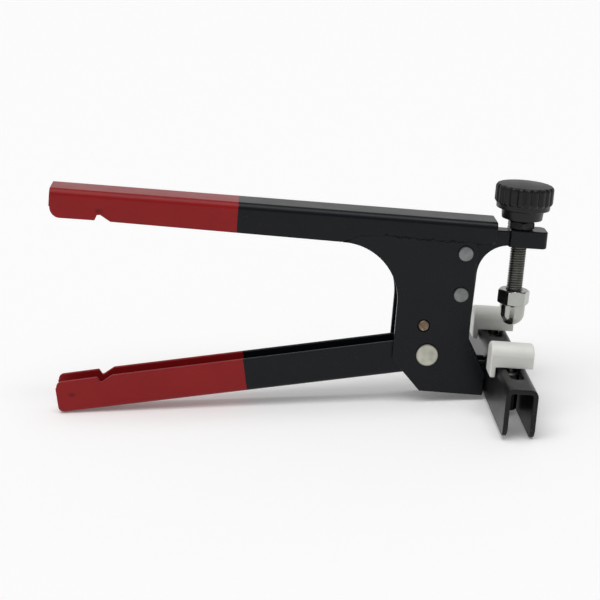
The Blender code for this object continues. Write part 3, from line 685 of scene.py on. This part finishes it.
def slotCutter(sign, b=bar):
    # a straight slot with half-round ends, opening out a little at the roof's surface
    radius = b["slot"] / 2
    swing = np.linspace(0, math.pi, 17)
    ends = [b["slotStart"] + radius, b["slotEnd"] - radius]
    near = np.stack((np.cos(swing + math.pi), np.sin(swing + math.pi)), -1)
    far = np.stack((np.cos(swing), np.sin(swing)), -1)
    offsets = np.concatenate((near, far))
    middles = np.concatenate((np.full(17, ends[0]), np.full(17, ends[1])))
    grow = np.array((0.0, 0.0, 0.1, 0.35, 0.5))
    height = np.array((-6.0, b["top"] - 0.5, b["top"] - 0.25, b["top"], b["top"] + 0.4))
    reach = radius + grow[:, None]
    x = barMiddle + reach * offsets[:, 0]
    y = sign * (middles + reach * offsets[:, 1])
    z = np.broadcast_to(height[:, None], x.shape)
    points = np.stack((x, y, z), -1)
    count = x.shape[1]
    faces = gridFaces(len(height), count, wrapColumns=True)
    faces += [tuple(range(count)), tuple(reversed(range(4 * count, 5 * count)))]
    return points.reshape(-1, 3), faces


def jawBar(b=bar):
    # the rim climbs on a quarter circle at each end
    end = np.linspace(0, math.pi / 2, 9)
    along = b["half"] - b["corner"] + b["corner"] * np.sin(end)
    rise = b["bottom"] + b["corner"] * (1 - np.cos(end))
    middle = np.linspace(-along[0], along[0], 31)
    s = np.concatenate((-along[::-1], middle[1:-1], along))
    rim = np.concatenate((rise[::-1], np.full(29, b["bottom"]), rise))
    halfWidth = (b["right"] - b["left"]) / 2
    return channel(drawnIn(s), rim, np.full(len(s), b["top"]), halfWidth, b["sheet"], b["bend"],
                   lambda s, a, z: np.stack((barMiddle + a, s, z), -1))


makePiece("jawBar", jawBar(), "jaw", finishes["barPaint"], ["jaw_bar"],
          cutters=[slotCutter(-1), slotCutter(1)])

pad = {"y": 35.0, "width": 13.5, "left": 27.8, "right": 49.0, "top": 15.6, "leg": -0.7, "low": 4.5,
       "crown": 5.4, "socket": 3.3, "socketTop": 10.6, "stud": 3.0, "nutCorner": 4.7, "nutFoot": -17.9}


def padShape(p=pad):
    return roundCorners([(p["left"], p["top"], 1.2), (p["left"], p["leg"], 1.0), (30.6, p["leg"], 0.6),
                         (30.6, p["low"], 0.5), (p["right"], p["low"], 1.0), (p["right"], p["top"], 1.2)])


def padBlock(y, p=pad, rounding=0.7):
    # the outline carried across the pad's width; above the bar's roof each row is squashed so that
    # the crown falls away as R - sqrt(R^2 - d^2), d being how far the row is past the crown's flat middle
    half = p["width"] / 2
    quarter = np.linspace(0, math.pi / 2, 5)
    edge = half - rounding * (1 - np.cos(quarter))
    middle = np.linspace(-edge[-1], edge[-1], 23)[1:-1]
    across = np.concatenate((-edge, middle, edge[::-1]))
    inset = rounding * (1 - np.sin(quarter))
    insets = np.concatenate((inset, np.zeros(len(middle)), inset[::-1]))
    outline = travelling(padShape(p), True)
    flat = outline[None] + insets[:, None, None] * leftNormals(outline)[None]
    past = np.clip(np.abs(across) - (half - p["crown"]), 0, p["crown"] * 0.995)
    top = p["top"] - p["crown"] + np.sqrt(p["crown"] ** 2 - past ** 2)
    share = ((top - p["low"]) / (p["top"] - p["low"]))[:, None]
    z = np.where(flat[..., 1] > p["low"], p["low"] + (flat[..., 1] - p["low"]) * share, flat[..., 1])
    points = np.stack((flat[..., 0], np.broadcast_to(y + across[:, None], z.shape), z), -1)
    rows, count = z.shape
    faces = gridFaces(rows, count, wrapColumns=True)
    ends = (np.stack((flat[0, :, 0], z[0]), -1), np.stack((flat[-1, :, 0], z[-1]), -1))
    faces += capFaces([ends[0]], 0) + capFaces([ends[1]], (rows - 1) * count, True)
    return points.reshape(-1, 3), faces


def padNut(y, p=pad):
    # a long hexagon nut, its corners cut by a 30 degree cone at each end
    steps = 72
    swing = np.arange(steps) * math.tau / steps
    flat = p["nutCorner"] * math.cos(math.pi / 6)
    cone = np.linspace(flat - 0.2, p["nutCorner"], 5)
    drop = (cone - cone[0]) * math.tan(math.pi / 6)
    top = bar["top"] - bar["sheet"] - 1.6
    low = p["nutFoot"] + drop
    high = top - drop[::-1]
    limits = np.concatenate(([p["stud"] + 0.3], cone, cone[::-1], [p["stud"] + 0.3]))
    heights = np.concatenate(([p["nutFoot"]], low, high, [top]))
    radius = np.minimum(hexRadius(p["nutCorner"], swing, 0.0)[None], limits[:, None])
    return turned(radius, heights, (barMiddle, y), steps=steps, closed=True)


for sideName, y in (("near", -pad["y"]), ("far", pad["y"])):
    socketHole = turned([pad["socket"]] * 2, [0.0, pad["socketTop"]], (barMiddle, y), steps=32)
    makePiece(sideName + "Pad", padBlock(y), sideName + "_support", finishes["nylonWhite"],
              [sideName + "_pad"], cutters=[socketHole])
    makePiece(sideName + "PadNut", padNut(y), sideName + "_support", finishes["blackOxide"],
              [sideName + "_pad_nut"], sharp=25)
print("bar and pads made")

# rivets and pivot pins
outside = 11.3


def headedPin(centre, shank, head, face, dome, edge=0.3):
    # a turned pin: shank, then a head whose edge is rounded and whose face swells by the dome
    swing = np.linspace(0, math.pi / 2, 4)
    across = np.linspace(head - edge, 0.02, 7)
    rim = np.stack((head - edge + edge * np.cos(swing), face - edge + edge * np.sin(swing)), -1)
    crown = np.stack((across, face + dome * (1 - (across / (head - edge)) ** 2)), -1)
    back = [[shank, outside], [head - 0.15, outside], [head, outside + 0.15]]
    half = np.concatenate((back, rim, crown[1:]))
    full = np.concatenate((half[::-1] * (1, -1), half))
    return turned(full[:, 0], full[:, 1], centre, "y", 48)


rivetSizes = {"shank": 2.5, "head": 3.8, "face": 12.15, "dome": 0.14}
pivotSizes = {"shank": 3.5, "head": 5.65, "face": 12.1, "dome": 0.18}
pins = {
    "upperArmRivet": ("upper_arm_rivet", pivots["upperRivet"], rivetSizes, "rivet_steel", "rivetSteel"),
    "lowerArmRivet": ("lower_arm_rivet", pivots["lowerRivet"], rivetSizes, "rivet_steel", "rivetSteel"),
    "handlePivotPin": ("handle_pivot_pin", pivots["handle"], pivotSizes, "pivot_steel", "pivotSteel"),
}
for name, (nodeName, centre, sizes, slotName, finishName) in pins.items():
    makePiece(name, headedPin(centre, **sizes), "frame", finishes[finishName], [nodeName])


def jawPin(radius=2.65, end=11.5, dish=0.12):
    # a plain pin whose ends are peened: rounded edge, a shallow ring and a raised middle
    swing = np.linspace(0, math.pi / 2, 4)
    rim = np.stack((radius - 0.4 + 0.4 * np.cos(swing), end - 0.4 + 0.4 * np.sin(swing)), -1)
    across = np.linspace(radius - 0.5, 0.02, 8)
    face = np.stack((across, end - dish * np.sin(across / radius * math.pi * 2) ** 2), -1)
    half = np.concatenate(([[radius, 0.0]], rim, face))
    full = np.concatenate((half[:0:-1] * (1, -1), half))
    return turned(full[:, 0], full[:, 1], pivots["jaw"], "y", 40)


makePiece("jawPivotPin", jawPin(), "frame", finishes["copperPin"], ["jaw_pivot_pin"])
print("pins made")

# clamp screw
screw = {"x": 42.3, "radius": 4.0, "pitch": 1.25, "depth": 0.62, "foot": 23.2, "head": 84.2,
         "acornTop": 34.4, "acornTip": 15.9, "acornCorner": 8.2, "acornTurn": math.radians(3.65),
         "collar": 6.45,
         "jamLow": 66.3, "jamHigh": 70.7, "jamCorner": 7.1, "jamTurn": math.radians(30.0)}


def clampStud(s=screw, perTurn=10, steps=36):
    # radius = R - depth x a clipped triangle wave of (height / pitch - angle / full turn), coned at both ends
    rows = int((s["head"] - s["foot"]) / s["pitch"] * perTurn)
    height = np.linspace(s["foot"], s["head"], rows)[:, None]
    swing = (np.arange(steps) * math.tau / steps)[None]
    phase = (height / s["pitch"] - swing / math.tau) % 1.0
    wave = np.clip(np.abs(2 * phase - 1) * 1.6 - 0.5, 0, 1)
    ends = np.minimum(height - s["foot"], s["head"] - height) + s["radius"] - 0.75
    radius = np.minimum(s["radius"] - s["depth"] * wave, ends)
    return turned(radius, height[:, 0], (s["x"], 0.0), steps=steps)


def acornNut(s=screw):
    # hexagon cut by a cone above, running into a round collar and an elliptical dome below
    steps = 144
    swing = np.arange(steps) * math.tau / steps
    corner, collar, top = s["acornCorner"], s["collar"], s["acornTop"]
    hexFoot = top - 7.4
    cone = np.linspace(corner * math.cos(math.pi / 6) - 0.1, corner, 5)
    drop = (cone - cone[0]) * math.tan(math.pi / 6)
    lowCone = np.linspace(corner, collar + 0.25, 7)
    lowDrop = np.linspace(0.75, 0.0, 7) ** 1.2
    angle = np.radians(np.array((11, 22, 32, 42, 51, 60, 68, 75, 81, 86)))
    domeRise = 6.6
    domeTop = s["acornTip"] + domeRise
    limits = np.concatenate(([4.3, 4.3], cone, lowCone, [collar + 0.05, collar], collar * np.cos(angle)))
    heights = np.concatenate(([top - 11.5, top], top - drop, hexFoot + lowDrop,
                              [hexFoot - 0.35, hexFoot - 0.8], domeTop - domeRise * np.sin(angle)))
    hexRow = np.zeros(len(limits), bool)
    hexRow[2:14] = True
    shape = hexRadius(corner, swing, s["acornTurn"])[None]
    radius = np.where(hexRow[:, None], np.minimum(shape, limits[:, None]), limits[:, None])
    return turned(radius, heights, (s["x"], 0.0), steps=steps)


def jamNut(s=screw):
    # hexagon cut by a cone below and by a steeper crown above
    steps = 144
    swing = np.arange(steps) * math.tau / steps
    corner, low, high = s["jamCorner"], s["jamLow"], s["jamHigh"]
    cone = np.linspace(corner * math.cos(math.pi / 6) - 0.1, corner, 5)
    drop = (cone - cone[0]) * math.tan(math.pi / 6)
    crown = np.linspace(corner, 5.1, 7)
    slope = np.linspace(1.35, 0.0, 7)
    limits = np.concatenate(([4.3, 4.7], cone, crown, [4.7, 4.3]))
    heights = np.concatenate(([low + 0.4, low], low + drop, high - slope, [high, high - 0.4]))
    radius = np.minimum(hexRadius(corner, swing, s["jamTurn"])[None], limits[:, None])
    return turned(radius, heights, (s["x"], 0.0), steps=steps, closed=True)


knobLook = {"hub": 71.1, "ribs": 22, "perRib": 12, "depth": 1.0}


def knob(k=knobLook):
    # profile rows are (radius, height, flute depth)
    # each row's radius = r - depth x ((1 + cos(ribs x angle)) / 2) ^ 1.8
    steps = k["ribs"] * k["perRib"]
    swing = np.arange(steps) * math.tau / steps
    hub = k["hub"]
    rows = np.array([
        (6.3, 13.9, 0), (6.3, 0.25, 0), (6.55, 0, 0), (9.8, 0, 0), (10.08, 0.08, 0), (10.2, 0.35, 0),
        (10.55, 4.2, 0), (10.75, 4.6, 0), (11.2, 4.85, 0), (13.0, 5.2, 0), (13.3, 5.32, 0),
        (13.45, 5.65, 0), (13.5, 7.2, 0),
        (13.55, 7.6, 0.1), (13.75, 7.85, 0.3), (14.1, 8.1, 0.55), (14.4, 8.4, 0.8), (14.57, 8.8, 0.95),
        (14.6, 9.4, 1), (14.6, 15.4, 1), (14.55, 15.9, 0.98), (14.38, 16.35, 0.9), (14.1, 16.75, 0.75),
        (13.75, 17.05, 0.55), (13.35, 17.2, 0.3), (12.9, 17.3, 0.1), (12.5, 17.33, 0), (12.2, 17.3, 0),
        (11.9, 17.36, 0), (9.0, 17.75, 0), (6.0, 17.95, 0), (3.0, 18.06, 0), (0.05, 18.1, 0)])
    flute = ((1 + np.cos(k["ribs"] * swing)) / 2) ** 1.8
    radius = rows[:, :1] - k["depth"] * rows[:, 2:] * flute[None]
    return turned(radius, hub + rows[:, 1], (screw["x"], 0.0), steps=steps)


makePiece("clampStud", clampStud(), "screw", finishes["studZinc"], ["clamp_stud"], sharp=80)
makePiece("acornNut", acornNut(), "screw_travel", finishes["polishedNickel"],
          ["acorn_nut"], sharp=28)
makePiece("jamNut", jamNut(), "lock_nut", finishes["blackOxide"], ["jam_nut"], sharp=25)
makePiece("knob", knob(), "screw", finishes["knobPlastic"], ["knob"], sharp=50)
print("clamp screw made")

# welds
weldLook = {"width": 2.2, "height": 0.26, "ripple": 1.5, "wander": 0.25}


def weldBead(path, outward, across, look=weldLook, lumps=1.0):
    # the bell (1 - across^2)^2 carried along a path, fading to nothing at both ends;
    # its height and width follow |sin| scallops and slow waves
    path = np.asarray(path, float)
    length = np.concatenate(([0], np.cumsum(np.linalg.norm(np.diff(path, axis=0), axis=1))))
    u = np.arange(0, length[-1], 0.28)
    line = np.stack([np.interp(u, length, path[:, k]) for k in range(3)], -1)
    scallop = np.abs(np.sin(math.pi * u / look["ripple"] + 0.7 * np.sin(u * 0.9)))
    slow = 0.75 + 0.3 * np.sin(u * 0.83 + 1.1) * np.sin(u * 0.31) * lumps
    fade = np.sqrt(np.clip(np.minimum(u, u[-1] - u) / 2.0, 0.02, 1))
    height = look["height"] * fade * slow * (0.55 + 0.45 * scallop)
    width = look["width"] * fade * (0.8 + 0.2 * scallop) * (0.9 + 0.2 * np.sin(u * 0.57))
    swing = np.linspace(0, math.pi, 11)
    sink = 0.08
    across, outward = np.asarray(across, float), np.asarray(outward, float)
    side = np.cos(swing)[None, :, None] * width[:, None, None] * across
    rise = (np.sin(swing)[None, :, None] ** 4 * (height[:, None, None] + sink) - sink) * outward
    wander = look["wander"] * np.sin(u * 1.3)[:, None, None] * across
    points = line[:, None] + side + rise + wander
    rows, count = points.shape[:2]
    faces = gridFaces(rows, count, wrapColumns=True)
    faces += [tuple(range(count)), tuple(reversed(range((rows - 1) * count, rows * count)))]
    return points.reshape(-1, 3), faces


seamLook = {"width": 2.3, "height": 0.12, "ripple": 9.0, "wander": 0.0}
footLook = {"width": 1.9, "height": 0.7, "ripple": 2.1, "wander": 0.2}
seamLine = [(-43.4, 56.3), (-41.5, 56.95), (-37.0, 58.4), (-34.5, 58.53), (20.0, 58.53)]
seamPath = [(-27.6, 59.3), (-19.0, 58.8), (-11.5, 58.5), (5.2, 58.1), (16.1, 58.4)]
for sideName, sign in (("near", -1), ("far", 1)):
    face = sign * cheek["outer"]
    side = sign * lever["outer"]
    outward, upwards = (0, sign, 0), (0, 0, 1)
    lumpy = weldBead([(x, face, z) for x, z in seamPath], outward, upwards)
    smooth = weldBead([(x, face, z) for x, z in seamLine], outward, upwards, seamLook, 0.2)
    foot = weldBead([(30.9, side, -18.4), (30.9, side, -12.0), (30.9, side, -3.6)],
                    (-0.5, sign * 0.87, 0), (0.87, sign * 0.5, 0), footLook)
    beads = (("SeamWeld", lumpy, "frame"), ("SeamFillet", smooth, "frame"), ("FootWeld", foot, "jaw"))
    for name, bead, body in beads:
        makePiece(sideName + name, bead, body, finishes["blackPaint"], sharp=70)
print("welds made")

# nodes kept as they are, with better finishes
keptNodes = {
    "zincSteel": ["near_upper_spacer", "far_upper_spacer", "near_lower_spacer", "far_lower_spacer",
                  "drive_pin", "near_pad_washer", "far_pad_washer", "knob_insert"],
    "studZinc": ["near_pad_stud", "far_pad_stud"],
    "springSteel": ["return_spring"],
}
for finishName, nodeNames in keptNodes.items():
    for nodeName in nodeNames:
        for materialSlot in frame["nodes"][nodeName].material_slots:
            materialSlot.material = finishes[finishName]

# floor, light and camera
studio = {"floorDrop": 0.0002, "floorHalf": 7.0, "floorGlow": 0.12,
          "worldLow": 0.16, "worldHigh": 0.3, "backdrop": 0.45}
floorMesh = bpy.data.meshes.new("studioFloor")
floorCorners = [(x * studio["floorHalf"], y * studio["floorHalf"], -studio["floorDrop"])
                for x, y in ((-1, -1), (1, -1), (1, 1), (-1, 1))]
floorMesh.from_pydata(floorCorners, [], [(0, 1, 2, 3)])
floor = bpy.data.objects.new("studioFloor", floorMesh)
bpy.context.scene.collection.objects.link(floor)
floorPaint = bpy.data.materials.new("floorPaint")
floorPaint.use_nodes = True
floorShader = floorPaint.node_tree.nodes["Principled BSDF"].inputs
floorShader["Base Color"].default_value = (0.95, 0.95, 0.95, 1)
floorShader["Roughness"].default_value = 0.9
floorShader["Emission Color"].default_value = (1, 1, 1, 1)
floorShader["Emission Strength"].default_value = studio["floorGlow"]
floorShader["Specular IOR Level"].default_value = 0.1
floorMesh.materials.append(floorPaint)

# the room brightens upwards, with a paler band low behind the tool
world = bpy.data.worlds.new("softRoom")
world.use_nodes = True
bpy.context.scene.world = world
room = world.node_tree
background = room.nodes["Background"]
split = node(room, "ShaderNodeSeparateXYZ", {0: node(room, "ShaderNodeTexCoord").outputs["Generated"]})
upward = node(room, "ShaderNodeMapRange", {
    "Value": split.outputs["Z"], "From Min": -0.1, "From Max": 0.6,
    "To Min": studio["worldLow"], "To Max": studio["worldHigh"]}).outputs["Result"]
behind = spread(room, split.outputs["Y"], 0.2, 0.8)
low = spread(room, split.outputs["Z"], 0.75, 0.35)
backdrop = math2(room, "MULTIPLY", math2(room, "MULTIPLY", behind, low), studio["backdrop"])
room.links.new(math2(room, "ADD", upward, backdrop), background.inputs["Strength"])
background.inputs["Color"].default_value = (1.0, 1.0, 1.0, 1.0)

lights = {  # suns, so that the floor is lit evenly; softness is the sun's width in radians
    "overhead": {"from": (-0.15, -0.25, 1.0), "strength": 1.68, "softness": 1.1},
    "keyStrip": {"from": (0.25, -0.3, 1.0), "strength": 0.12, "softness": 0.16},
    "leftFill": {"from": (-1.0, -0.6, 0.7), "strength": 0.14, "softness": 0.6},
}
for name, light in lights.items():
    lamp = bpy.data.lights.new(name, "SUN")
    lamp.energy = light["strength"]
    lamp.angle = light["softness"]
    holder = bpy.data.objects.new(name, lamp)
    holder.rotation_euler = Vector(light["from"]).to_track_quat("Z", "Y").to_euler()
    bpy.context.scene.collection.objects.link(holder)

view = {"place": (-0.021536, -0.897650, 0.286513), "right": (0.99915, -0.02953, -0.02876),
        "up": (0.03526, 0.25098, 0.96735), "forward": (0.02134, 0.96754, -0.25181), "lens": 110.1}
camera = bpy.data.cameras.new("camera")
camera.lens = view["lens"]
camera.sensor_width = 36.0
camera.clip_start = 0.01
cameraObject = bpy.data.objects.new("camera", camera)
axes = Matrix((view["right"], view["up"], tuple(-c for c in view["forward"]))).transposed()
cameraObject.matrix_world = Matrix.Translation(view["place"]) @ axes.normalized().to_4x4()
bpy.context.scene.collection.objects.link(cameraObject)
bpy.context.scene.camera = cameraObject
bpy.context.scene.view_settings.view_transform = "Standard"
print("studio ready")

bpy.context.view_layer.update()
